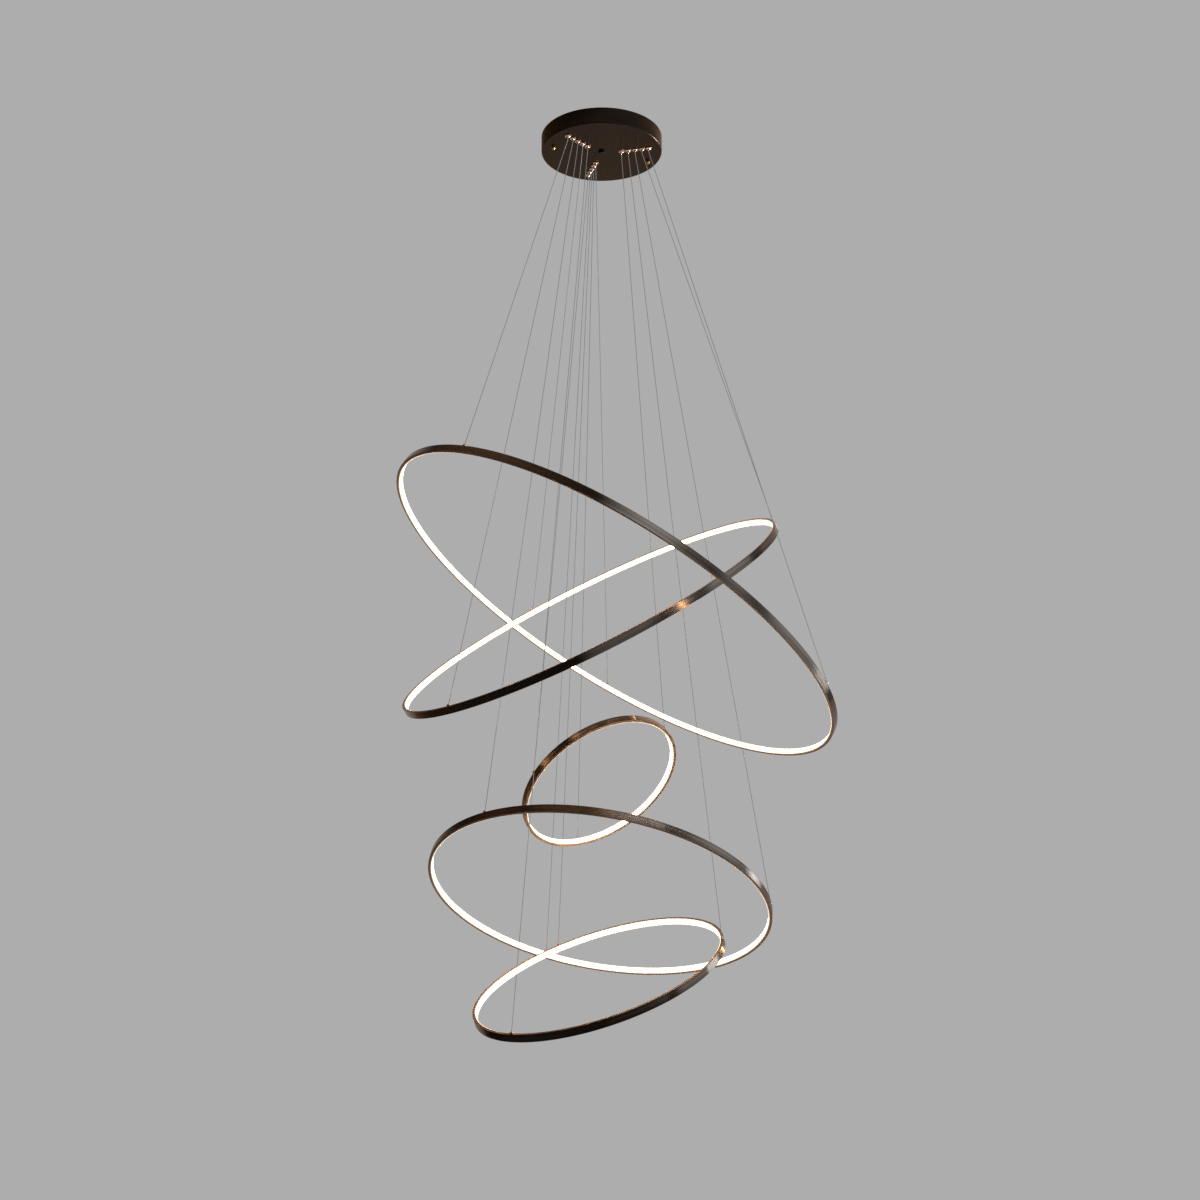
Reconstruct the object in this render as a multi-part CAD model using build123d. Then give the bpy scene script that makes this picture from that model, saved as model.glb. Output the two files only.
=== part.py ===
from build123d import *
import os
from math import cos, pi, radians, sin
from typing import NamedTuple

# Ring chandelier: five tilted light hoops hung on thin wires from one round ceiling canopy.
# Sizes are in millimetres and angles in degrees. The origin is on the ceiling at the canopy's
# centre, with +Z up. Azimuths run from +X towards +Y.

# Canopy cover, a shallow pan of sheet metal with its floor down
canopy_diameter = 296.0
canopy_height = 37.0
cover_wall = 1.2
cover_edge_radius = 3.0

# Ceiling bracket bar, and the studs that carry the cover
bracket_azimuth = 17.0
bracket_length = 266.0
bracket_width = 30.0
bracket_thickness = 2.0
ceiling_screw_circle = 90.0
ceiling_screw_hole = 5.5
supply_cable_hole = 20.0
stud_circle = 244.0
stud_diameter = 5.0
stud_nut_width = 8.0
stud_nut_height = 4.0
cap_nut_width = 9.0
cap_nut_hex_height = 4.0
cap_nut_dome_radius = 4.1
cap_nut_bore_depth = 6.0
stud_end_gap = 0.5

# Plug near the middle of the cover, on the viewer's side
plug_offset = 10.0
plug_diameter = 16.0
plug_head = 4.5
plug_edge_radius = 1.5
plug_hole = 14.0
plug_lip = 0.5
plug_lip_height = 1.5

# Electrical gear inside the canopy
driver_size = (120.0, 40.0, 21.0)
driver_corner = 4.0
driver_pad_size = (96.0, 28.0, 1.0)
driver_azimuths = (287.0, 47.0)
driver_radii = (85.0, 70.0)
terminal_size = (44.0, 17.0, 15.0)
terminal_offset = -83.0
terminal_well = 4.0
terminal_well_depth = 6.0
terminal_well_pitch = 14.0
terminal_screw_diameter = 3.0
earth_screw_diameter = 4.0
earth_screw_length = 6.0
earth_screw_offset = 75.0
screw_head_ratio = 1.8
screw_head_height = 2.2
lead_diameter = 3.0
lead_bend = 12.0
lead_entry_depth = 6.0
lead_straight_in = 36.0
lead_drop_run = 25.0
lead_straight_out = 30.0

# Wire grippers, in radial rows under the cover
row_azimuths = {"far": 107.0, "left": 227.0, "right": 347.0}
grippers_per_row = 5
first_gripper_radius = 50.0
gripper_pitch = 17.0
gripper_diameter = 14.0
gripper_drop = 4.5
gripper_collar = 1.2
gripper_nose_diameter = 5.5
gripper_waist_diameter = 7.0
gripper_waist_height = 1.5
shank_diameter = 8.0
shank_above_cover = 9.0
gripper_nut_width = 13.0
gripper_nut_height = 5.0
chamber_diameter = 4.4
chamber_floor = 1.2
chamber_above_floor = 6.0
tip_diameter = 3.0
tip_travel = 1.5
tip_left_out = 0.5
tip_collar_diameter = 4.0
tip_collar_height = 3.0
spring_wire = 0.4
spring_diameter = 3.6
spring_turns = 5

# Suspension wires
wire_diameter = 1.5
wire_tail = 6.0
wire_bend_below_tip = 3.0
wire_bend_radius = 6.0
wire_ball_diameter = 3.0

# Hoops, called by their outside diameters, and where their centres hang
hoop_1200_diameter = 1200.0
hoop_1000_diameter = 1000.0
hoop_800_diameter = 800.0
hoop_600_diameter = 600.0
hoop_400_diameter = 400.0
hoop_1200_centre = (12.5, 26.5, -1173.0)
hoop_1000_centre = (-33.0, 58.0, -1166.0)
hoop_800_centre = (-9.0, -38.5, -1835.5)
hoop_600_centre = (-6.5, -39.0, -2005.5)
hoop_400_centre = (-2.0, -1.0, -1573.0)

# Hoop section: a channel open to the inside, a light strip in it, and a diffuser band in its mouth
hoop_height = 17.0
hoop_depth = 6.0
hoop_wall = 1.5
hoop_flange = 1.0
hoop_edge_radius = 0.8
strip_width = 8.0
strip_thickness = 1.2
diffuser_thickness = 4.0
diffuser_proud = 2.5
diffuser_edge_radius = 1.2

# Wire anchors, riveted oblong bosses on the hoops' upper rims
anchor_length = 9.0
anchor_width = 5.6
anchor_height = 4.6
anchor_edge_radius = 1.2
anchor_shank = 2.0
rivet_head_diameter = 2.6
rivet_head_height = 1.0
ball_seat_height = 2.2

# Clearances
thread_gap = 0.05
hole_gap = 0.1
slide_gap = 0.15
glue_gap = 0.1
wire_gap = 0.3
ball_gap = 0.3
anchor_mouth_gap = 0.4


class Anchor(NamedTuple):
    """One wire: its anchor's angle on the hoop, and its gripper, counted outwards from 1."""

    angle: float
    row: str
    place: int


class Hoop(NamedTuple):
    """One hoop: tilt is the lean of its axis from +Z, towards lean_azimuth."""

    diameter: float
    centre: tuple
    tilt: float
    lean_azimuth: float
    anchors: tuple


hoops = {
    "1200": Hoop(hoop_1200_diameter, hoop_1200_centre, 35.3, 27.2,
                 (Anchor(-135.5, "left", 5), Anchor(-38.0, "right", 5), Anchor(80.5, "far", 1))),
    "1000": Hoop(hoop_1000_diameter, hoop_1000_centre, 29.0, 204.7,
                 (Anchor(-135.8, "left", 4), Anchor(-13.8, "right", 4), Anchor(105.2, "left", 2))),
    "400": Hoop(hoop_400_diameter, hoop_400_centre, 52.4, 124.3,
                (Anchor(-120.5, "far", 5), Anchor(-2.0, "right", 1), Anchor(133.0, "far", 2))),
    "800": Hoop(hoop_800_diameter, hoop_800_centre, 38.4, 75.5,
                (Anchor(-134.8, "left", 3), Anchor(-18.2, "right", 3), Anchor(103.5, "far", 4))),
    "600": Hoop(hoop_600_diameter, hoop_600_centre, 16.9, 190.9,
                (Anchor(-130.0, "left", 1), Anchor(-7.8, "right", 2), Anchor(110.0, "far", 3))),
}

# Heights that several pieces share
cover_floor_top = -canopy_height + cover_wall
shank_top = cover_floor_top + shank_above_cover
nose_bottom = -canopy_height - gripper_drop
chamber_bottom = nose_bottom + chamber_floor
chamber_top = cover_floor_top + chamber_above_floor
tip_bottom = nose_bottom - tip_travel - tip_left_out
tip_collar_top = chamber_bottom + tip_collar_height
wire_corner = tip_bottom - wire_bend_below_tip
wire_top = shank_top + wire_tail
wire_bore = wire_diameter + 2 * wire_gap


def polar(radius, azimuth, z=0.0):
    """Point at a radius and azimuth about the canopy's axis."""
    return Vector(radius * cos(radians(azimuth)), radius * sin(radians(azimuth)), z)


def rod(diameter, bottom, top):
    """Upright round bar on the Z axis."""
    height = top - bottom
    return Pos(0, 0, bottom) * Cylinder(diameter / 2, height, align=(Align.CENTER, Align.CENTER, Align.MIN))


def hex_bar(width, bottom, top):
    """Upright hexagonal bar on the Z axis, width across its flats."""
    return Pos(0, 0, bottom) * extrude(RegularPolygon(width / 2, 6, major_radius=False), top - bottom)


def block(size, bottom):
    """Upright box on the Z axis, standing on a height."""
    return Pos(0, 0, bottom) * Box(*size, align=(Align.CENTER, Align.CENTER, Align.MIN))


def tube(points, diameter, bends):
    """Round wire along straight runs joined by tangent arcs."""
    path = FilletPolyline(*points, radius=bends)
    return sweep(Plane(path @ 0, z_dir=path % 0) * Circle(diameter / 2), path=path), path.length


def write(name, pieces):
    """One file for a node, with each of its pieces as a separate solid."""
    solids = [solid for piece in pieces for solid in piece.solids()]
    export_step(Compound(solids), f"parts/{name}.step")


def gripper_place(row, place):
    """Location of a gripper's axis, at the ceiling's height."""
    radius = first_gripper_radius + (place - 1) * gripper_pitch
    return Pos(*polar(radius, row_azimuths[row]))


gripper_places = [(row, place) for row in row_azimuths for place in range(1, grippers_per_row + 1)]
bracket_frame = Rot(0, 0, bracket_azimuth)
stud_places = [Pos(side * stud_circle / 2, 0, 0) for side in (-1, 1)]


# Canopy

def canopy_cover():
    outside = rod(canopy_diameter, -canopy_height, 0)
    outside = fillet(outside.edges().group_by(Axis.Z)[0], cover_edge_radius)
    inside = rod(canopy_diameter - 2 * cover_wall, cover_floor_top, cover_wall)
    inner_edge = max(cover_edge_radius - cover_wall, cover_wall / 4)
    cover = outside - fillet(inside.edges().group_by(Axis.Z)[0], inner_edge)
    cover -= Pos(0, -plug_offset, 0) * rod(plug_hole, -canopy_height - cover_wall, 0)
    shank_hole = rod(shank_diameter + 2 * hole_gap, -canopy_height - cover_wall, 0)
    for row, place in gripper_places:
        cover -= gripper_place(row, place) * shank_hole
    stud_hole = rod(stud_diameter + 2 * hole_gap, -canopy_height - cover_wall, 0)
    for place in stud_places:
        cover -= bracket_frame * place * stud_hole
    return cover


def ceiling_bracket():
    bar = extrude(SlotOverall(bracket_length, bracket_width), -bracket_thickness)
    holes = [(supply_cable_hole, 0.0)]
    holes += [(ceiling_screw_hole, side * ceiling_screw_circle / 2) for side in (-1, 1)]
    holes += [(stud_diameter + 2 * thread_gap, side * stud_circle / 2) for side in (-1, 1)]
    holes += [(terminal_screw_diameter + 2 * thread_gap, terminal_offset)]
    holes += [(earth_screw_diameter + 2 * thread_gap, earth_screw_offset)]
    for diameter, offset in holes:
        bar -= Pos(offset, 0, 0) * rod(diameter, -2 * bracket_thickness, bracket_thickness)
    return bracket_frame * bar


def cover_studs():
    bottom = -canopy_height - cap_nut_bore_depth + stud_end_gap
    return [bracket_frame * place * rod(stud_diameter, bottom, 0) for place in stud_places]


def stud_nuts():
    nut = hex_bar(stud_nut_width, -bracket_thickness - stud_nut_height, -bracket_thickness)
    nut -= rod(stud_diameter + 2 * thread_gap, -canopy_height, 0)
    return [bracket_frame * place * nut for place in stud_places]


def cap_nuts():
    hex_bottom = -canopy_height - cap_nut_hex_height
    nut = hex_bar(cap_nut_width, hex_bottom, -canopy_height)
    nut += Pos(0, 0, hex_bottom) * Rot(180, 0, 0) * Sphere(cap_nut_dome_radius, arc_size1=0, align=None)
    bore = stud_diameter + 2 * thread_gap
    nut -= rod(bore, -canopy_height - cap_nut_bore_depth, -canopy_height)
    return [bracket_frame * place * nut for place in stud_places]


def centre_plug():
    stem_top = cover_floor_top + plug_lip_height
    head = rod(plug_diameter, -canopy_height - plug_head, -canopy_height)
    head = fillet(head.edges().group_by(Axis.Z)[0], plug_edge_radius)
    stem = rod(plug_hole - 2 * hole_gap, -canopy_height, stem_top)
    lip = rod(plug_hole + 2 * plug_lip, cover_floor_top, stem_top)
    return Pos(0, -plug_offset, 0) * (head + stem + lip)


# Electrical gear

def driver_frame(number):
    """Frame of a driver on the cover's floor: X along its length, Y away from the canopy's axis."""
    azimuth = driver_azimuths[number]
    return Pos(*polar(driver_radii[number], azimuth, cover_floor_top)) * Rot(0, 0, azimuth - 90)


def led_driver(number):
    case = block(driver_size, driver_pad_size[2])
    case = fillet(case.edges().filter_by(Axis.Z), driver_corner)
    return driver_frame(number) * case


def driver_pads():
    return [driver_frame(number) * block(driver_pad_size, 0) for number in range(len(driver_azimuths))]


def terminal_block():
    length, width, height = terminal_size
    bottom = -bracket_thickness - height
    body = block(terminal_size, bottom)
    for step in (-1, 1):
        for side in (-1, 1):
            well = rod(terminal_well, bottom, bottom + terminal_well_depth)
            body -= Pos(step * terminal_well_pitch, side * width / 4, 0) * well
    body -= rod(terminal_screw_diameter + 2 * hole_gap, bottom, 0)
    head = terminal_screw_diameter * screw_head_ratio + 2 * hole_gap
    body -= rod(head, bottom, bottom + screw_head_height)
    return bracket_frame * Pos(terminal_offset, 0, 0) * body


def bracket_screws():
    """The terminal block's screw and the earth screw, driven up into the bracket."""
    head_seat = -bracket_thickness - terminal_size[2] + screw_head_height
    sizes = [(terminal_screw_diameter, head_seat, terminal_offset)]
    sizes += [(earth_screw_diameter, -earth_screw_length, earth_screw_offset)]
    screws = []
    for diameter, seat, offset in sizes:
        screw = rod(diameter, seat, 0) + rod(diameter * screw_head_ratio, seat - screw_head_height, seat)
        screws.append(bracket_frame * Pos(offset, 0, 0) * screw)
    return screws


def mains_leads():
    """Leads from the terminal block to an end of the first driver and a side of the second."""
    block_y = terminal_size[1] / 2
    block_x = terminal_offset + terminal_size[0] / 2
    out_z = -bracket_thickness - terminal_size[2] / 2
    entry_z = cover_floor_top + driver_pad_size[2] + driver_size[2] - lead_entry_depth
    to_bracket = bracket_frame.inverse()
    first_end = (to_bracket * driver_frame(0) * Pos(driver_size[0] / 2, 0, 0)).position
    second_face = to_bracket * driver_frame(1) * Pos(0, -driver_size[1] / 2, 0)
    second_end = second_face.position
    second_run = (second_face * Pos(0, -lead_straight_in, 0)).position
    routes = [
        [(terminal_offset, -block_y, out_z), (terminal_offset, first_end.Y + lead_drop_run, out_z),
         (terminal_offset, first_end.Y, entry_z), (first_end.X, first_end.Y, entry_z)],
        [(block_x, 0, out_z), (block_x + lead_straight_out, 0, out_z),
         (second_run.X, second_run.Y, entry_z), (second_end.X, second_end.Y, entry_z)],
    ]
    return [bracket_frame * tube(route, lead_diameter, lead_bend)[0] for route in routes]


# Wire grippers

def gripper_body():
    shoulder = -canopy_height - gripper_collar
    outline = [
        Polyline((0, nose_bottom), (gripper_nose_diameter / 2, nose_bottom)),
        ThreePointArc((gripper_nose_diameter / 2, nose_bottom),
                      (gripper_waist_diameter / 2, nose_bottom + gripper_waist_height),
                      (gripper_diameter / 2, shoulder)),
        Polyline((gripper_diameter / 2, shoulder), (gripper_diameter / 2, -canopy_height),
                 (shank_diameter / 2, -canopy_height), (shank_diameter / 2, shank_top),
                 (0, shank_top), (0, nose_bottom)),
    ]
    body = revolve(Plane.XZ * make_face(Curve() + outline), Axis.Z)
    body -= rod(wire_bore, nose_bottom, shank_top)
    body -= rod(tip_diameter + 2 * slide_gap, nose_bottom, chamber_bottom)
    body -= rod(chamber_diameter, chamber_bottom, chamber_top)
    return body


def gripper_nut():
    nut = hex_bar(gripper_nut_width, cover_floor_top, cover_floor_top + gripper_nut_height)
    return nut - rod(shank_diameter + 2 * thread_gap, cover_floor_top, shank_top)


def release_tip():
    tip = rod(tip_diameter, tip_bottom, tip_collar_top)
    tip = fillet(tip.edges().group_by(Axis.Z)[0], tip_diameter / 8)
    tip += rod(tip_collar_diameter, chamber_bottom, tip_collar_top)
    return tip - rod(wire_bore, tip_bottom, tip_collar_top)


def release_spring():
    """Coil between a tip's collar and the top of its chamber, just clear of both."""
    bottom = tip_collar_top + spring_wire / 2 + hole_gap
    height = chamber_top - hole_gap - spring_wire / 2 - bottom
    coil = Helix(height / spring_turns, height, (spring_diameter - spring_wire) / 2)
    turns = sweep(Plane(coil @ 0, z_dir=coil % 0) * Circle(spring_wire / 2), path=coil, is_frenet=True)
    return Pos(0, 0, bottom) * turns


# Hoops, each made flat about its own axis and then put in its plane

def hoop_plane(hoop):
    axis = Vector(0, 0, 1).rotate(Axis.Y, hoop.tilt).rotate(Axis.Z, hoop.lean_azimuth)
    return Plane(hoop.centre, x_dir=Vector(0, 1, 0).cross(axis), z_dir=axis)


def anchor_place(hoop, anchor):
    """Location of an anchor's foot on the upper rim, in the hoop's own frame, with Y along the rim."""
    radius = hoop.diameter / 2 - hoop_depth / 2
    return Pos(*polar(radius, anchor.angle, hoop_height / 2)) * Rot(0, 0, anchor.angle)


def turned(section):
    return revolve(Plane.XZ * section, Axis.Z)


def hoop_frame(hoop):
    outer = hoop.diameter / 2
    section = Pos(outer - hoop_depth / 2, 0) * Rectangle(hoop_depth, hoop_height)
    section = fillet(section.vertices().group_by(Axis.X)[-1], hoop_edge_radius)
    channel_depth = hoop_depth - hoop_wall
    channel = Rectangle(channel_depth, hoop_height - 2 * hoop_flange)
    section -= Pos(outer - hoop_depth + channel_depth / 2, 0) * channel
    frame = turned(section)
    for anchor in hoop.anchors:
        frame -= anchor_place(hoop, anchor) * rod(anchor_shank + 2 * hole_gap, -2 * hoop_flange, hoop_flange)
    return hoop_plane(hoop) * frame


def led_strip(hoop):
    middle = hoop.diameter / 2 - hoop_wall - glue_gap - strip_thickness / 2
    return hoop_plane(hoop) * turned(Pos(middle, 0) * Rectangle(strip_thickness, strip_width))


def diffuser(hoop):
    middle = hoop.diameter / 2 - hoop_depth - diffuser_proud + diffuser_thickness / 2
    band = Rectangle(diffuser_thickness, hoop_height - 2 * hoop_flange - 2 * glue_gap)
    section = Pos(middle, 0) * band
    section = fillet(section.vertices().group_by(Axis.X)[0], diffuser_edge_radius)
    return hoop_plane(hoop) * turned(section)


def wire_corner_point(anchor):
    """Point just under a release tip where the wire turns towards its hoop."""
    return (gripper_place(anchor.row, anchor.place) * Pos(0, 0, wire_corner)).position


def ball_point(hoop, anchor):
    """Centre of the ball on the wire's lower end, inside its anchor."""
    return (hoop_plane(hoop).location * anchor_place(hoop, anchor) * Pos(0, 0, ball_seat_height)).position


def wire_anchor(hoop, anchor):
    boss = extrude(Rot(0, 0, 90) * SlotOverall(anchor_length, anchor_width), anchor_height)
    boss = fillet(boss.edges().group_by(Axis.Z)[-1], anchor_edge_radius)
    rivet = rod(anchor_shank, -hoop_flange, 0)
    rivet += rod(rivet_head_diameter, -hoop_flange - rivet_head_height, -hoop_flange)
    placed = hoop_plane(hoop) * anchor_place(hoop, anchor) * (boss + rivet)
    ball = ball_point(hoop, anchor)
    seat = Pos(*ball) * Sphere(wire_ball_diameter / 2 + ball_gap)
    towards_gripper = Plane(ball, z_dir=wire_corner_point(anchor) - ball)
    mouth = towards_gripper * rod(wire_diameter + 2 * anchor_mouth_gap, 0, anchor_length)
    return placed - seat - mouth


def wire(hoop, anchor):
    """Wire from its tail above the gripper, through the tip, straight down to its ball."""
    corner = wire_corner_point(anchor)
    ball = ball_point(hoop, anchor)
    tail = Vector(corner.X, corner.Y, wire_top)
    line, length = tube([tail, corner, ball], wire_diameter, wire_bend_radius)
    share = line.volume / (length * pi * wire_diameter ** 2 / 4)
    return line + Pos(*ball) * Sphere(wire_ball_diameter / 2), length, share


os.makedirs("parts", exist_ok=True)
write("canopy_cover", [canopy_cover()])
write("ceiling_bracket", [ceiling_bracket()])
write("cover_studs", cover_studs())
write("stud_nuts", stud_nuts())
write("cap_nuts", cap_nuts())
write("centre_plug", [centre_plug()])
for number in range(len(driver_azimuths)):
    write(f"led_driver_{number + 1}", [led_driver(number)])
write("driver_pads", driver_pads())
write("terminal_block", [terminal_block()])
write("bracket_screws", bracket_screws())
write("mains_leads", mains_leads())

body, nut, tip, spring = gripper_body(), gripper_nut(), release_tip(), release_spring()
write("gripper_bodies", [gripper_place(row, place) * body for row, place in gripper_places])
write("gripper_nuts", [gripper_place(row, place) * nut for row, place in gripper_places])

for name, hoop in hoops.items():
    places = [gripper_place(anchor.row, anchor.place) for anchor in hoop.anchors]
    write(f"release_tips_{name}", [place * tip for place in places])
    write(f"release_springs_{name}", [place * spring for place in places])
    write(f"hoop_frame_{name}", [hoop_frame(hoop)])
    write(f"led_strip_{name}", [led_strip(hoop)])
    write(f"diffuser_{name}", [diffuser(hoop)])
    write(f"wire_anchors_{name}", [wire_anchor(hoop, anchor) for anchor in hoop.anchors])
    for count, anchor in enumerate(hoop.anchors, start=1):
        line, length, share = wire(hoop, anchor)
        write(f"wire_{name}_{count}", [line])
        print(f"wire {name} {count}: {length:.0f} mm long, bend radius {wire_bend_radius} mm, "
              f"volume {share:.4f} of section times length")
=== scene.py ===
"""Looks of a ring chandelier: five lit hoops on thin wires under one round canopy."""
import math
from typing import NamedTuple

import bpy
from mathutils import Matrix, Vector


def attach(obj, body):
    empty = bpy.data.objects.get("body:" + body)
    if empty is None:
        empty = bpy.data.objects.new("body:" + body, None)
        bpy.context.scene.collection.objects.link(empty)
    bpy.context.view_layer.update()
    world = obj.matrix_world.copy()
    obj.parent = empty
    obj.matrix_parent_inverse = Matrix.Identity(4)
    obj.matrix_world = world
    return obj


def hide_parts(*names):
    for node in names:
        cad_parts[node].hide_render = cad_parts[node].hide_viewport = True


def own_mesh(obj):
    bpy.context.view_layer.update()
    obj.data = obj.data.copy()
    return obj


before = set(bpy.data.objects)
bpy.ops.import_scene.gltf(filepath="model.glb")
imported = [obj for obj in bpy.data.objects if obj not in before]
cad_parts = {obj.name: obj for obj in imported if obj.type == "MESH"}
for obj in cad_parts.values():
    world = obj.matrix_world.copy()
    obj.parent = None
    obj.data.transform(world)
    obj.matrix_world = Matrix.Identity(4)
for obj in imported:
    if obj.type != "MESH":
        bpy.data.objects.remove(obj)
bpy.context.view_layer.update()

# The part's own sizes are in millimetres, as in its solids, and all else is in metres
MM = 0.001

# Wire grippers under the canopy, in radial rows
ROW_AZIMUTHS = {"far": 107.0, "left": 227.0, "right": 347.0}
FIRST_GRIPPER_RADIUS = 50.0
GRIPPER_PITCH = 17.0
WIRE_TOP = -20.8
WIRE_CORNER = -46.5

# Suspension wires
WIRE_DIAMETER = 1.5
WIRE_NEAR_CORNER = 9.0
WIRE_SIDES = 10
BALL_SEAT_HEIGHT = 2.2
SPLINE_ORDER = 3
SPLINE_STEPS = 12

# Hoop section
HOOP_HEIGHT = 17.0
HOOP_DEPTH = 6.0
HOOP_WALL = 1.5
HOOP_FLANGE = 1.0
HOOP_EDGE_RADIUS = 0.8
FLANGE_EDGE_RADIUS = 0.3
DIFFUSER_THICKNESS = 4.0
DIFFUSER_PROUD = 2.5
DIFFUSER_EDGE_RADIUS = 1.2
DIFFUSER_GAP = 0.1
HOOP_SEGMENTS = 320
ARC_STEPS = 4
SHARP_ANGLE = 40.0


class Anchor(NamedTuple):
    """One wire: its anchor's angle on the hoop, and its gripper, counted outwards from 1."""

    angle: float
    row: str
    place: int


class Hoop(NamedTuple):
    """One hoop: tilt is its axis's angle from +Z, and lean is the azimuth that the axis leans towards."""

    diameter: float
    centre: tuple
    tilt: float
    lean: float
    anchors: tuple


HOOPS = {
    "1200": Hoop(1200.0, (12.5, 26.5, -1173.0), 35.3, 27.2,
                 (Anchor(-135.5, "left", 5), Anchor(-38.0, "right", 5), Anchor(80.5, "far", 1))),
    "1000": Hoop(1000.0, (-33.0, 58.0, -1166.0), 29.0, 204.7,
                 (Anchor(-135.8, "left", 4), Anchor(-13.8, "right", 4), Anchor(105.2, "left", 2))),
    "400": Hoop(400.0, (-2.0, -1.0, -1573.0), 52.4, 124.3,
                (Anchor(-120.5, "far", 5), Anchor(-2.0, "right", 1), Anchor(133.0, "far", 2))),
    "800": Hoop(800.0, (-9.0, -38.5, -1835.5), 38.4, 75.5,
                (Anchor(-134.8, "left", 3), Anchor(-18.2, "right", 3), Anchor(103.5, "far", 4))),
    "600": Hoop(600.0, (-6.5, -39.0, -2005.5), 16.9, 190.9,
                (Anchor(-130.0, "left", 1), Anchor(-7.8, "right", 2), Anchor(110.0, "far", 3))),
}


# Node helpers

# Most values of a noise texture lie between these two
NOISE_LOW = 0.3
NOISE_HIGH = 0.7


def add(tree, kind, inputs=None, **settings):
    """New node with its settings, and its inputs set to values or linked to other sockets."""
    made = tree.nodes.new(kind)
    for key, value in settings.items():
        setattr(made, key, value)
    for key, value in (inputs or {}).items():
        if isinstance(value, bpy.types.NodeSocket):
            tree.links.new(value, made.inputs[key])
        else:
            made.inputs[key].default_value = value
    return made


def new_material(name, **values):
    """Node material with one Principled shader, and that shader's plain values."""
    made = bpy.data.materials.new(name)
    made.use_nodes = True
    shader = made.node_tree.nodes["Principled BSDF"]
    for key, value in values.items():
        shader.inputs[key.replace("_", " ")].default_value = value
    return made, made.node_tree, shader


def connect(tree, shader, **sockets):
    """Links sockets to the shader's inputs of the same names."""
    for key, socket in sockets.items():
        tree.links.new(socket, shader.inputs[key.replace("_", " ")])


def ramp(tree, factor, stops):
    """Colour ramp with stops of (place, colour)."""
    made = add(tree, "ShaderNodeValToRGB", {"Fac": factor})
    while len(made.color_ramp.elements) < len(stops):
        made.color_ramp.elements.new(0.5)
    for element, (place, colour) in zip(made.color_ramp.elements, stops):
        element.position = place
        element.color = (*colour, 1.0)
    return made.outputs["Color"]


def span(tree, value, low, high, to_low=0.0, to_high=1.0):
    """A value's range moved to another range, and held at its ends."""
    made = add(tree, "ShaderNodeMapRange",
               {"Value": value, "From Min": low, "From Max": high, "To Min": to_low, "To Max": to_high})
    return made.outputs["Result"]


def two_tones(tree, factor, low, high):
    """Colour that follows a noise from one tone to another."""
    return ramp(tree, factor, [(NOISE_LOW, low), (NOISE_HIGH, high)])


def grained(tree, factor, low, high):
    """Value that follows a noise from one number to another."""
    return span(tree, factor, NOISE_LOW, NOISE_HIGH, low, high)


def maths(tree, operation, first, second=0.0):
    return add(tree, "ShaderNodeMath", {0: first, 1: second}, operation=operation).outputs[0]


def noise(tree, vector, scale, detail=3.0, roughness=0.55):
    made = add(tree, "ShaderNodeTexNoise",
               {"Vector": vector, "Scale": scale, "Detail": detail, "Roughness": roughness})
    return made.outputs["Fac"]


def stretched_noise(tree, vector, scale):
    """Noise with a scale of its own along each axis."""
    mapping = add(tree, "ShaderNodeMapping", {"Vector": vector, "Scale": scale})
    return noise(tree, mapping.outputs["Vector"], 1.0)


def bump(tree, height, strength, distance):
    made = add(tree, "ShaderNodeBump", {"Height": height, "Strength": strength, "Distance": distance})
    return made.outputs["Normal"]


def mix_colour(tree, factor, first, second):
    made = add(tree, "ShaderNodeMix", {0: factor, 6: first, 7: second}, data_type="RGBA")
    return made.outputs[2]


def object_place(tree):
    return add(tree, "ShaderNodeTexCoord").outputs["Object"]


def attribute(tree, name):
    return add(tree, "ShaderNodeAttribute", attribute_name=name).outputs["Vector"]


def hoop_section(tree):
    """Depth in from a hoop's outer face, and height above its middle plane."""
    parts = add(tree, "ShaderNodeSeparateXYZ", {"Vector": attribute(tree, "hoop_section")}).outputs
    return parts["X"], parts["Y"]


def hoop_streaks(tree, along, across):
    """Noise drawn out along a hoop: slow round the ring, quick across its faces."""
    parts = add(tree, "ShaderNodeSeparateXYZ", {"Vector": attribute(tree, "hoop_place")}).outputs
    depth, height = hoop_section(tree)
    vector = add(tree, "ShaderNodeCombineXYZ", {
        "X": maths(tree, "MULTIPLY", parts["X"], along),
        "Y": maths(tree, "MULTIPLY", parts["Y"], along),
        "Z": maths(tree, "MULTIPLY", maths(tree, "ADD", depth, height), across),
    })
    return noise(tree, vector.outputs["Vector"], 1.0)


# Materials

# Hoop rims: fully in their lighter copper, a painted glow, within a margin of the top and bottom, in
# millimetres, and rougher than the faces
RIM_MARGIN = 0.1
RIM_ROUGHER = 0.35

# Light bands: the share of light left at the metal, and how far out from it a band's sides are dimmed
LIGHT_STRENGTH = 23.0
LIGHT_COLOUR = (1.0, 0.60, 0.30)
LIGHT_AT_METAL = 0.35
DIMMED_SHARE = 0.6

# Wires' weak painted glow, which real wire lacks, and how much smoother the canopy's floor is than its wall
WIRE_PAINTED_GLOW = 0.16
CANOPY_FLOOR_POLISH = 0.22


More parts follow.
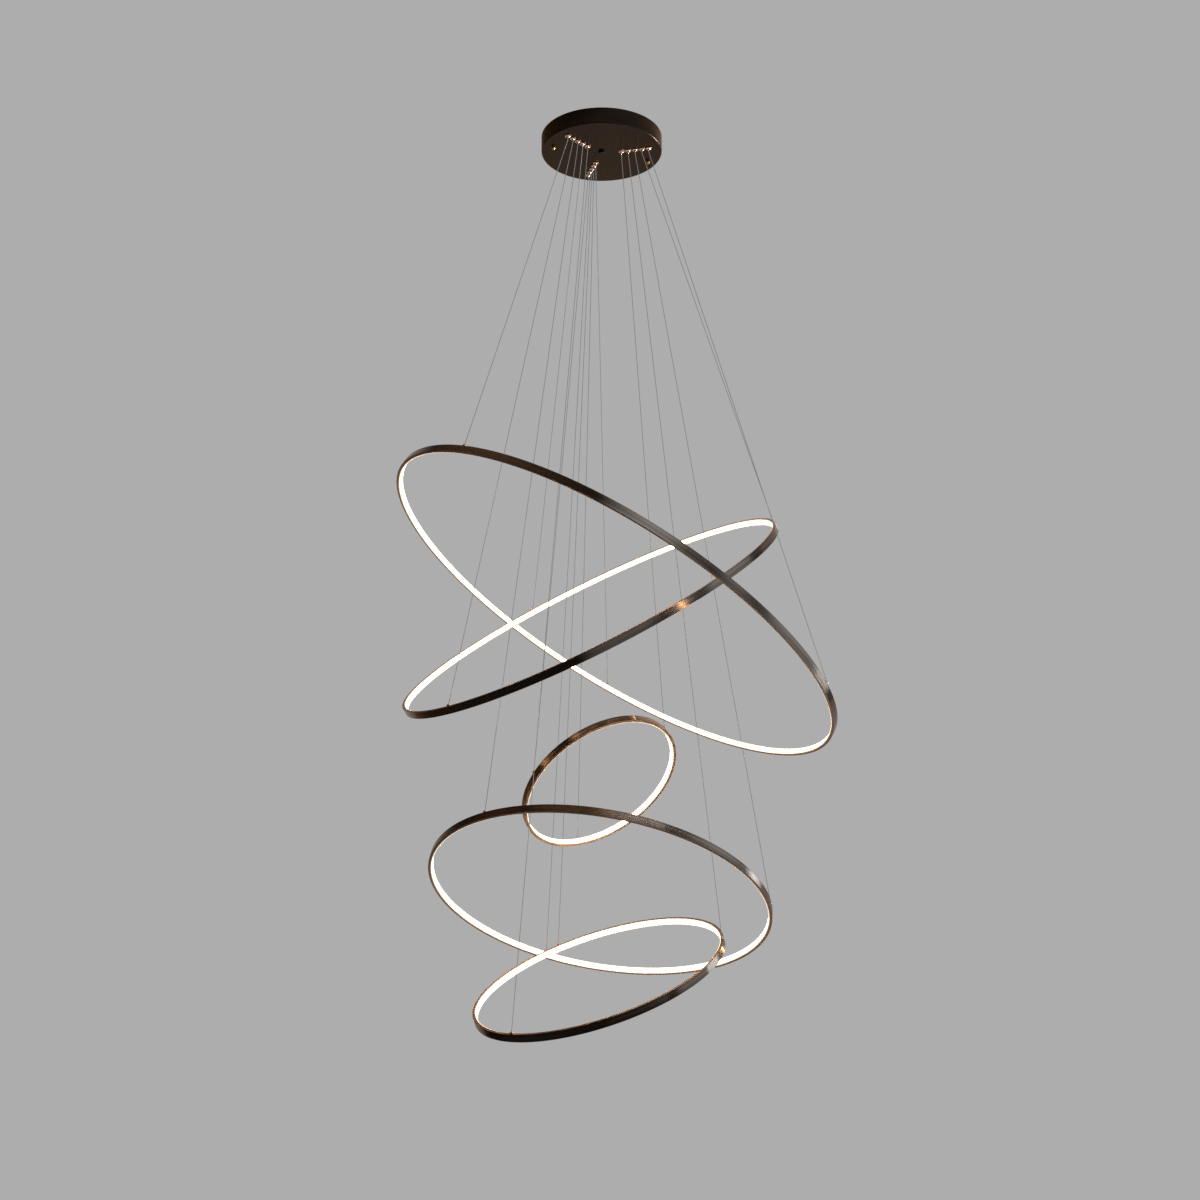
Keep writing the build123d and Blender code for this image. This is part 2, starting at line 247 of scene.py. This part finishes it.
def brushed_bronze():
    """Dark bronze on the hoops, brushed along the band, with a lighter copper on the two rims as painted
    glow.
    """
    made, tree, shader = new_material(
        "brushed_bronze", Metallic=1.0, Anisotropic=1.0, Anisotropic_Rotation=0.25,
        Specular_Tint=(0.75, 0.62, 0.55, 1.0), Coat_Weight=0.2, Coat_IOR=1.45, Coat_Roughness=0.3)
    broad = hoop_streaks(tree, 2.0, 170.0)
    fine = hoop_streaks(tree, 6.0, 900.0)
    mixed = maths(tree, "ADD", maths(tree, "MULTIPLY", broad, 0.6), maths(tree, "MULTIPLY", fine, 0.4))
    face = ramp(tree, mixed, [(0.36, (0.090, 0.073, 0.063)), (0.50, (0.150, 0.122, 0.105)),
                              (0.64, (0.230, 0.187, 0.161))])
    # Painted glow: the rims' lighter copper stands in for the light bands' glow on them
    rim = two_tones(tree, mixed, (0.400, 0.245, 0.140), (0.620, 0.390, 0.230))
    height = hoop_section(tree)[1]
    on_rim = span(tree, maths(tree, "ABSOLUTE", height), (HOOP_HEIGHT / 2 - HOOP_EDGE_RADIUS) * MM,
                  (HOOP_HEIGHT / 2 - RIM_MARGIN) * MM)
    grain = grained(tree, fine, 0.18, 0.22)
    connect(tree, shader,
            Base_Color=mix_colour(tree, on_rim, face, rim),
            Roughness=maths(tree, "ADD", grain, maths(tree, "MULTIPLY", on_rim, RIM_ROUGHER)),
            Normal=bump(tree, fine, 0.04, 0.00003),
            Tangent=attribute(tree, "hoop_along"))
    return made


def opal_diffuser():
    """Lit opal band: white on its face, and dimmer and warmer over its rounded edges and sides."""
    made, tree, shader = new_material("opal_diffuser", Roughness=0.42, Emission_Strength=LIGHT_STRENGTH)
    depth, height = hoop_section(tree)
    half = (HOOP_HEIGHT / 2 - HOOP_FLANGE - DIFFUSER_GAP) * MM
    from_middle = span(tree, maths(tree, "ABSOLUTE", height), 0.0, half)
    glow = ramp(tree, from_middle, [(0.0, LIGHT_COLOUR), (0.40, LIGHT_COLOUR),
                                    (0.62, (0.080, 0.067, 0.055)), (0.80, (0.059, 0.051, 0.043)),
                                    (0.94, (0.051, 0.0415, 0.032)), (1.0, (0.040, 0.029, 0.019))])
    clear_of_metal = HOOP_DEPTH + DIFFUSER_PROUD * DIMMED_SHARE
    into_metal = span(tree, depth, HOOP_DEPTH * MM, clear_of_metal * MM, LIGHT_AT_METAL, 1.0)
    lit = add(tree, "ShaderNodeVectorMath", {0: glow, "Scale": into_metal}, operation="SCALE")
    cloud = noise(tree, attribute(tree, "hoop_place"), 60.0)
    connect(tree, shader,
            Emission_Color=lit.outputs["Vector"],
            Base_Color=two_tones(tree, cloud, (0.86, 0.85, 0.82), (0.92, 0.91, 0.88)))
    return made


def dark_bronze():
    """Dark bronze sheet of the canopy: its floor brushed along Y, its wall brushed round and painted darker
    and greyer than the floor as shade.
    """
    made, tree, shader = new_material("dark_bronze", Metallic=1.0, Anisotropic=0.5,
                                      Specular_Tint=(0.9, 0.75, 0.62, 1.0))
    place = object_place(tree)
    normal = add(tree, "ShaderNodeNewGeometry").outputs["Normal"]
    facing = add(tree, "ShaderNodeSeparateXYZ", {"Vector": normal}).outputs["Z"]
    level = maths(tree, "ABSOLUTE", facing)
    on_floor = stretched_noise(tree, place, (620.0, 9.0, 0.0))
    on_wall = stretched_noise(tree, place, (9.0, 9.0, 1400.0))
    lines = add(tree, "ShaderNodeMix", {"Factor": level, "A": on_wall, "B": on_floor}).outputs["Result"]
    # Painted shade: the wall's tone is darker and greyer than the floor's, for the shade on the wall
    wall_painted_shade_tone = two_tones(tree, lines, (0.018, 0.016, 0.017), (0.030, 0.027, 0.028))
    floor_tone = two_tones(tree, lines, (0.024, 0.017, 0.016), (0.044, 0.031, 0.029))
    grain = grained(tree, lines, 0.38, 0.48)
    polish = maths(tree, "MULTIPLY", level, CANOPY_FLOOR_POLISH)
    tangent = add(tree, "ShaderNodeTangent", direction_type="RADIAL", axis="Y")
    connect(tree, shader,
            Base_Color=mix_colour(tree, level, wall_painted_shade_tone, floor_tone),
            Roughness=maths(tree, "SUBTRACT", grain, polish),
            Normal=bump(tree, lines, 0.2, 0.00006),
            Tangent=tangent.outputs["Tangent"])
    return made


def wire_steel():
    """Stranded steel wire: its lay runs along the wire's own map, and a weak painted glow, which real wire
    lacks, keeps it an even grey.
    """
    # Painted glow: the wire's weak emission stands in for light falling on it
    made, tree, shader = new_material("wire_steel", Metallic=1.0, Emission_Strength=WIRE_PAINTED_GLOW,
                                      Emission_Color=(0.97, 0.98, 1.0, 1.0))
    lay = add(tree, "ShaderNodeUVMap", uv_map="Lay").outputs["UV"]
    strands = add(tree, "ShaderNodeTexWave", {"Vector": lay, "Scale": 1.0, "Distortion": 0.0},
                  bands_direction="DIAGONAL").outputs["Fac"]
    colour = ramp(tree, strands, [(0.0, (0.106, 0.116, 0.128)), (1.0, (0.124, 0.134, 0.146))])
    connect(tree, shader,
            Base_Color=colour,
            Roughness=span(tree, strands, 0.0, 1.0, 0.58, 0.52),
            Normal=bump(tree, strands, 0.04, 0.0001))
    return made


def led_strip():
    """White circuit film with a row of small yellow lamps along it."""
    made, tree, shader = new_material("led_strip", Roughness=0.5)
    cells = add(tree, "ShaderNodeTexVoronoi", {"Vector": object_place(tree), "Scale": 120.0})
    colour = ramp(tree, cells.outputs["Distance"], [(0.25, (0.90, 0.66, 0.16)), (0.34, (0.88, 0.87, 0.83))])
    connect(tree, shader, Base_Color=colour)
    return made


class Finish(NamedTuple):
    """One plain finish: its two tones, its roughness, and how fine its marks or grains are."""

    low: tuple
    high: tuple
    roughness: float
    grain: float
    shine: float = 0.5


METALS = {
    "copper_plate": Finish((0.64, 0.43, 0.33), (0.82, 0.60, 0.49), 0.20, 2600.0),
    "polished_brass": Finish((0.62, 0.42, 0.13), (0.80, 0.58, 0.22), 0.18, 2600.0),
    "spring_steel": Finish((0.40, 0.40, 0.41), (0.55, 0.55, 0.56), 0.28, 3000.0),
    "zinc_steel": Finish((0.52, 0.53, 0.55), (0.66, 0.67, 0.69), 0.34, 1200.0),
}
PLASTICS = {
    "black_plastic": Finish((0.003, 0.003, 0.003), (0.006, 0.006, 0.006), 0.60, 1500.0, shine=0.1),
    "driver_case": Finish((0.70, 0.70, 0.69), (0.78, 0.78, 0.77), 0.5, 1200.0),
    "white_plastic": Finish((0.76, 0.75, 0.71), (0.83, 0.82, 0.79), 0.42, 1200.0),
    "foam_pad": Finish((0.05, 0.05, 0.05), (0.10, 0.10, 0.10), 0.85, 2200.0),
    "lead_jacket": Finish((0.60, 0.60, 0.58), (0.70, 0.70, 0.68), 0.5, 1500.0),
}


def plain_metal(name, finish):
    """Plated metal with fine turning marks and a little change of tone."""
    made, tree, shader = new_material(name, Metallic=1.0)
    place = object_place(tree)
    marks = stretched_noise(tree, place, (40.0, 40.0, finish.grain))
    tone = noise(tree, place, 90.0)
    connect(tree, shader,
            Base_Color=two_tones(tree, tone, finish.low, finish.high),
            Roughness=grained(tree, marks, finish.roughness - 0.06, finish.roughness + 0.08),
            Normal=bump(tree, marks, 0.15, 0.00004))
    return made


def plain_plastic(name, finish):
    """Moulded plastic or foam with a fine grain."""
    made, tree, shader = new_material(name, Specular_IOR_Level=finish.shine)
    place = object_place(tree)
    grains = noise(tree, place, finish.grain)
    tone = noise(tree, place, 45.0)
    connect(tree, shader,
            Base_Color=two_tones(tree, tone, finish.low, finish.high),
            Roughness=grained(tree, grains, finish.roughness - 0.06, finish.roughness + 0.06),
            Normal=bump(tree, grains, 0.2, 0.0001))
    return made


MATERIALS = {
    "brushed_bronze": brushed_bronze(),
    "opal_diffuser": opal_diffuser(),
    "dark_bronze": dark_bronze(),
    "wire_steel": wire_steel(),
    "led_strip": led_strip(),
}
for finish_name, one_finish in METALS.items():
    MATERIALS[finish_name] = plain_metal(finish_name, one_finish)
for finish_name, one_finish in PLASTICS.items():
    MATERIALS[finish_name] = plain_plastic(finish_name, one_finish)


# Hoops

def new_object(name, data):
    made = bpy.data.objects.new(name, data)
    bpy.context.scene.collection.objects.link(made)
    return made


def hoop_matrix(hoop):
    """A hoop's own frame: its axis along Z, and its X level with the room's Y."""
    tilt, lean = math.radians(hoop.tilt), math.radians(hoop.lean)
    axis = Vector((math.sin(tilt) * math.cos(lean), math.sin(tilt) * math.sin(lean), math.cos(tilt)))
    across = Vector((0.0, 1.0, 0.0)).cross(axis).normalized()
    matrix = Matrix((across, axis.cross(across), axis)).transposed().to_4x4()
    matrix.translation = Vector(hoop.centre) * MM
    return matrix


def rounded(corners):
    """Closed outline through right-angled corners of (point, radius), with an arc at each radius."""
    points = []
    for index, (corner, radius) in enumerate(corners):
        corner = Vector(corner)
        if not radius:
            points.append(corner)
            continue
        before, after = Vector(corners[index - 1][0]), Vector(corners[(index + 1) % len(corners)][0])
        start = corner + (before - corner).normalized() * radius
        end = corner + (after - corner).normalized() * radius
        centre = start + end - corner
        for step in range(ARC_STEPS + 1):
            turn = math.pi / 2 * step / ARC_STEPS
            points.append(centre + (start - centre) * math.cos(turn) + (end - centre) * math.sin(turn))
    return points


def vertex_vectors(mesh, name, vectors):
    made = mesh.attributes.new(name, "FLOAT_VECTOR", "POINT")
    for item, vector in zip(made.data, vectors):
        item.vector = vector


def turned_band(name, outline, hoop):
    """Mesh of an outline of (radius, height), in millimetres, turned about its hoop's axis."""
    count = len(outline)
    matrix = hoop_matrix(hoop)
    turn_only = matrix.to_3x3()
    places, sections, alongs, faces = [], [], [], []
    for segment in range(HOOP_SEGMENTS):
        angle = math.tau * segment / HOOP_SEGMENTS
        outwards = Vector((math.cos(angle), math.sin(angle), 0.0))
        for radius, height in outline:
            places.append((outwards * radius + Vector((0.0, 0.0, height))) * MM)
            sections.append(Vector((hoop.diameter / 2 - radius, height, 0.0)) * MM)
            alongs.append(turn_only @ Vector((-outwards.y, outwards.x, 0.0)))
        here, there = segment * count, (segment + 1) % HOOP_SEGMENTS * count
        for index in range(count):
            after = (index + 1) % count
            faces.append((here + index, there + index, there + after, here + after))
    mesh = bpy.data.meshes.new(name)
    mesh.from_pydata([matrix @ place for place in places], [], faces)
    mesh.shade_smooth()
    mesh.set_sharp_from_angle(angle=math.radians(SHARP_ANGLE))
    vertex_vectors(mesh, "hoop_place", places)
    vertex_vectors(mesh, "hoop_section", sections)
    vertex_vectors(mesh, "hoop_along", alongs)
    piece = new_object(name, mesh)
    weighted = piece.modifiers.new("weighted_normals", "WEIGHTED_NORMAL")
    weighted.keep_sharp = True
    return piece


def dress(piece, body, slot, *nodes):
    """Puts a piece on its body, in its material, in the place of its solids."""
    piece.data.materials.append(MATERIALS[slot])
    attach(piece, body)
    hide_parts(*nodes)


def make_hoop(name, hoop):
    """A hoop's channel, open to the inside, and the light band that stands in it."""
    outer, inner = hoop.diameter / 2, hoop.diameter / 2 - HOOP_DEPTH
    top, channel_top, channel_back = HOOP_HEIGHT / 2, HOOP_HEIGHT / 2 - HOOP_FLANGE, outer - HOOP_WALL
    channel = rounded([
        ((outer, -top), HOOP_EDGE_RADIUS), ((outer, top), HOOP_EDGE_RADIUS),
        ((inner, top), FLANGE_EDGE_RADIUS), ((inner, channel_top), FLANGE_EDGE_RADIUS),
        ((channel_back, channel_top), 0), ((channel_back, -channel_top), 0),
        ((inner, -channel_top), FLANGE_EDGE_RADIUS), ((inner, -top), FLANGE_EDGE_RADIUS),
    ])
    band_top, band_face = channel_top - DIFFUSER_GAP, inner - DIFFUSER_PROUD
    band_back = band_face + DIFFUSER_THICKNESS
    band = rounded([
        ((band_back, -band_top), 0), ((band_back, band_top), 0),
        ((band_face, band_top), DIFFUSER_EDGE_RADIUS), ((band_face, -band_top), DIFFUSER_EDGE_RADIUS),
    ])
    dress(turned_band(f"hoop_{name}_band", channel, hoop), f"hoop_{name}", "brushed_bronze",
          f"hoop_frame_{name}")
    dress(turned_band(f"hoop_{name}_light", band, hoop), f"hoop_{name}", "opal_diffuser",
          f"diffuser_{name}")


# Suspension wires

def gripper_point(anchor, height):
    """Point on a gripper's axis at a height in millimetres from the ceiling; the point is in metres."""
    radius = FIRST_GRIPPER_RADIUS + (anchor.place - 1) * GRIPPER_PITCH
    azimuth = math.radians(ROW_AZIMUTHS[anchor.row])
    return Vector((radius * math.cos(azimuth), radius * math.sin(azimuth), height)) * MM


def ball_point(hoop, anchor):
    """Middle of a wire's lower end, inside its anchor on the hoop's upper rim, in metres."""
    radius = hoop.diameter / 2 - HOOP_DEPTH / 2
    turn = math.radians(anchor.angle)
    height = HOOP_HEIGHT / 2 + BALL_SEAT_HEIGHT
    return hoop_matrix(hoop) @ (Vector((radius * math.cos(turn), radius * math.sin(turn), height)) * MM)


def spline_points(route):
    """Points along the smooth spline that has a route's points as its control points."""
    curve = bpy.data.curves.new("route", "CURVE")
    curve.dimensions = "3D"
    spline = curve.splines.new("NURBS")
    spline.points.add(len(route) - 1)
    for control, point in zip(spline.points, route):
        control.co = (*point, 1.0)
    spline.order_u = SPLINE_ORDER
    spline.use_endpoint_u = True
    spline.resolution_u = SPLINE_STEPS
    holder = bpy.data.objects.new("route", curve)
    line = [vertex.co.copy() for vertex in bpy.data.meshes.new_from_object(holder).vertices]
    bpy.data.objects.remove(holder)
    return line


def wire_tube(name, line):
    """Round tube along a line, with a map whose U runs round it and V along it in diameters."""
    points, faces, places = [], [], []
    run = 0.0
    for index, centre in enumerate(line):
        before, after = line[max(index - 1, 0)], line[min(index + 1, len(line) - 1)]
        run += (centre - before).length
        ahead = (after - before).normalized()
        side = ahead.cross(Vector((0.0, 1.0, 0.0))).normalized()
        front = ahead.cross(side)
        for step in range(WIRE_SIDES):
            turn = math.tau * step / WIRE_SIDES
            outwards = side * math.cos(turn) + front * math.sin(turn)
            points.append(centre + outwards * WIRE_DIAMETER / 2 * MM)
        places.append(run / (WIRE_DIAMETER * MM))
    for ring in range(len(line) - 1):
        for step in range(WIRE_SIDES):
            after = (step + 1) % WIRE_SIDES
            faces.append((ring * WIRE_SIDES + step, ring * WIRE_SIDES + after,
                          (ring + 1) * WIRE_SIDES + after, (ring + 1) * WIRE_SIDES + step))
    last = (len(line) - 1) * WIRE_SIDES
    faces.append(tuple(reversed(range(WIRE_SIDES))))
    faces.append(tuple(range(last, last + WIRE_SIDES)))
    mesh = bpy.data.meshes.new(name)
    mesh.from_pydata(points, [], faces)
    mesh.shade_smooth()
    lay = mesh.uv_layers.new(name="Lay")
    for face in mesh.polygons:
        for step, corner in enumerate(face.loop_indices):
            ring, side = divmod(mesh.loops[corner].vertex_index, WIRE_SIDES)
            round_it = side / WIRE_SIDES
            if face.index < last and step in (1, 2) and side == 0:
                round_it = 1.0
            lay.data[corner].uv = (round_it, places[ring])
    return new_object(name, mesh)


def make_wire(name, hoop, count, anchor):
    """One wire from inside its gripper to its anchor."""
    corner, ball = gripper_point(anchor, WIRE_CORNER), ball_point(hoop, anchor)
    near = WIRE_NEAR_CORNER * MM
    route = [gripper_point(anchor, WIRE_TOP), corner + Vector((0.0, 0.0, near)), corner,
             corner + (ball - corner).normalized() * near, ball]
    line = spline_points(route)
    piece = wire_tube(f"hoop_{name}_wire_{count}", line)
    dress(piece, "canopy", "wire_steel", f"wire_{name}_{count}")
    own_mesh(piece)


for hoop_name, one_hoop in HOOPS.items():
    make_hoop(hoop_name, one_hoop)
    for number, one_anchor in enumerate(one_hoop.anchors, start=1):
        make_wire(hoop_name, one_hoop, number, one_anchor)


# Pieces that keep their own solids, in new materials

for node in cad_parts.values():
    slot_name = node.data.materials[0].name
    node.data.materials[0] = MATERIALS[slot_name.split(".")[0]]


def shorten_springs(name):
    """Gives the release springs, which shorten under the gripper's seat as the tips come up, a mesh of
    their own.
    """
    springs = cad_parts[f"release_springs_{name}"]
    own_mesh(springs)


for hoop_name in HOOPS:
    shorten_springs(hoop_name)


# Stage, light and camera

BACKGROUND = (0.418, 0.418, 0.418)
MIDDLE = (0.0, 0.0, -1.4)

# Floor, in its middle mostly of the backdrop's colour, and beyond the fade all of it
FLOOR_HEIGHT = -3.0
FLOOR_RADIUS = 9.0
FLOOR_SIDES = 96
FLOOR_TONE = (0.75, 0.75, 0.75)
FLOOR_SHADOW_RADIUS = 0.55
FLOOR_FADE_RADIUS = 0.95
FLOOR_BACKDROP_SHARE = 0.72

# Cards
CARD_SIDES = 48
CARD_RADIUS = 1.5
WARM_CARD_RADIUS = 1.45
NEAR_FLAG_RADIUS = 0.9
CARD_TONE = (0.085, 0.072, 0.058)
WARM_TONE = (0.38, 0.20, 0.095)
CEILING_TONE = (0.65, 0.48, 0.32)
CARD_FOOT = (FLOOR_FADE_RADIUS, -2.97)
CARD_BOTTOM = -2.9
CEILING_CARD_HEIGHT = 0.02
CEILING_CARD_HOLE = 0.16
CEILING_CARD_RADIUS = 1.3

# Camera, as fitted to the photograph: its pitch in degrees, its lens and sensor in millimetres
CAMERA_PLACE = (-0.004, -2.523, -1.302)
CAMERA_PITCH = 3.7
CAMERA_LENS = 31.65
CAMERA_SENSOR = 36.0


def make_world():
    world = bpy.data.worlds.new("studio")
    world.use_nodes = True
    world.node_tree.nodes["Background"].inputs["Color"].default_value = (*BACKGROUND, 1.0)
    bpy.context.scene.world = world


def floor_material():
    """Pale floor that takes the shadow in its middle and goes over to the backdrop's colour."""
    made = bpy.data.materials.new("floor")
    made.use_nodes = True
    tree = made.node_tree
    tree.nodes.remove(tree.nodes["Principled BSDF"])
    from_middle = add(tree, "ShaderNodeVectorMath", {0: object_place(tree)}, operation="LENGTH")
    fade = span(tree, from_middle.outputs["Value"], FLOOR_SHADOW_RADIUS, FLOOR_FADE_RADIUS,
                FLOOR_BACKDROP_SHARE, 1.0)
    matt = add(tree, "ShaderNodeBsdfDiffuse", {"Color": (*FLOOR_TONE, 1.0)})
    backdrop = add(tree, "ShaderNodeEmission", {"Color": (*BACKGROUND, 1.0)})
    mixed = add(tree, "ShaderNodeMixShader",
                {0: fade, 1: matt.outputs["BSDF"], 2: backdrop.outputs["Emission"]})
    tree.links.new(mixed.outputs["Shader"], tree.nodes["Material Output"].inputs["Surface"])
    return made


def make_floor():
    turns = [math.tau * k / FLOOR_SIDES for k in range(FLOOR_SIDES)]
    rim = [Vector((math.cos(turn), math.sin(turn), 0.0)) * FLOOR_RADIUS for turn in turns]
    mesh = bpy.data.meshes.new("floor")
    mesh.from_pydata(rim, [], [tuple(range(FLOOR_SIDES))])
    mesh.materials.append(floor_material())
    floor = new_object("floor", mesh)
    floor.location = (0.0, 0.0, FLOOR_HEIGHT)


def make_softbox(name, place, target, size, power, colour, spread=180.0):
    """Soft lamp of a size of (width, height) that the metal shows and the camera doesn't."""
    lamp = bpy.data.lights.new(name, "AREA")
    lamp.shape = "RECTANGLE"
    lamp.size, lamp.size_y = size
    lamp.energy = power
    lamp.color = colour
    lamp.spread = math.radians(spread)
    holder = new_object(name, lamp)
    holder.location = place
    holder.rotation_euler = (Vector(target) - Vector(place)).to_track_quat("-Z", "Y").to_euler()
    holder.visible_camera = False


def upright(radius, low, high):
    """Outline of an upright card, between two heights."""
    return (radius, low), (radius, high)


def make_card(name, start, end, outline, tone=CARD_TONE):
    """Plain card that the metal shows and the camera doesn't.

    Its outline, of (radius, height), runs between two turns from the viewer's side, towards the right.
    """
    turns = [math.radians(start + (end - start) * k / CARD_SIDES) for k in range(CARD_SIDES + 1)]
    points = [(radius * math.sin(turn), -radius * math.cos(turn), height)
              for turn in turns for radius, height in outline]
    rows = len(outline)
    faces = [(k * rows + row, (k + 1) * rows + row, (k + 1) * rows + row + 1, k * rows + row + 1)
             for k in range(CARD_SIDES) for row in range(rows - 1)]
    mesh = bpy.data.meshes.new(name)
    mesh.from_pydata(points, [], faces)
    matt = new_material(name, Base_Color=(*tone, 1.0), Roughness=0.9, Specular_IOR_Level=0.0)[0]
    mesh.materials.append(matt)
    card = new_object(name, mesh)
    card.visible_camera = False


def make_camera():
    camera = bpy.data.cameras.new("camera")
    camera.lens = CAMERA_LENS
    camera.sensor_width = CAMERA_SENSOR
    holder = new_object("camera", camera)
    holder.location = CAMERA_PLACE
    holder.rotation_euler = (math.radians(90.0 + CAMERA_PITCH), 0.0, 0.0)
    bpy.context.scene.camera = holder


make_world()
make_floor()

make_softbox("right_panel", place=(2.32, -0.9, -1.1), target=MIDDLE,
             size=(3.4, 1.6), power=11.5, colour=(0.78, 0.91, 1.0))
make_softbox("upper_panel", place=(0.95, -1.55, 0.35), target=MIDDLE,
             size=(1.8, 1.5), power=10.0, colour=(0.82, 0.92, 1.0))
make_softbox("back_strip", place=(4.67, 2.09, -2.0), target=(0.3, 0.0, -2.0),
             size=(1.8, 0.9), power=35.0, colour=(0.72, 0.88, 1.0))
make_softbox("canopy_lamp", place=(1.0, 0.55, -0.62), target=(0.0, 0.0, -0.06),
             size=(0.3, 0.3), power=1.7, colour=(0.95, 0.98, 1.0), spread=40.0)
make_softbox("warm_panel", place=(0.50, 0.72, -0.98), target=(0.11, -0.06, -1.42),
             size=(0.3, 0.6), power=0.75, colour=(1.0, 0.80, 0.64))

make_card("warm_card", -97.0, -76.0, upright(WARM_CARD_RADIUS, -1.95, 0.0), WARM_TONE)
make_card("low_warm_card", -126.0, -97.0, upright(WARM_CARD_RADIUS, -1.95, -1.55), WARM_TONE)
make_card("left_card", -126.0, -2.0, (CARD_FOOT, *upright(CARD_RADIUS, CARD_BOTTOM, 1.2)))
make_card("low_card", -2.0, 65.0, (CARD_FOOT, *upright(CARD_RADIUS, CARD_BOTTOM, -2.0)))
make_card("front_flag", 30.0, 40.0, upright(CARD_RADIUS, -1.7, -0.2))
make_card("side_flag", 47.0, 57.0, upright(CARD_RADIUS, -1.9, -0.5))
make_card("high_flag", 91.0, 104.0, upright(CARD_RADIUS, -0.85, -0.55))
make_card("near_flag", 88.0, 94.0, upright(NEAR_FLAG_RADIUS, -1.62, -1.4))
make_card("ceiling_card", -180.0, 180.0,
          ((CEILING_CARD_HOLE, CEILING_CARD_HEIGHT), (CEILING_CARD_RADIUS, CEILING_CARD_HEIGHT)),
          CEILING_TONE)

make_camera()
bpy.context.scene.view_settings.view_transform = "Standard"
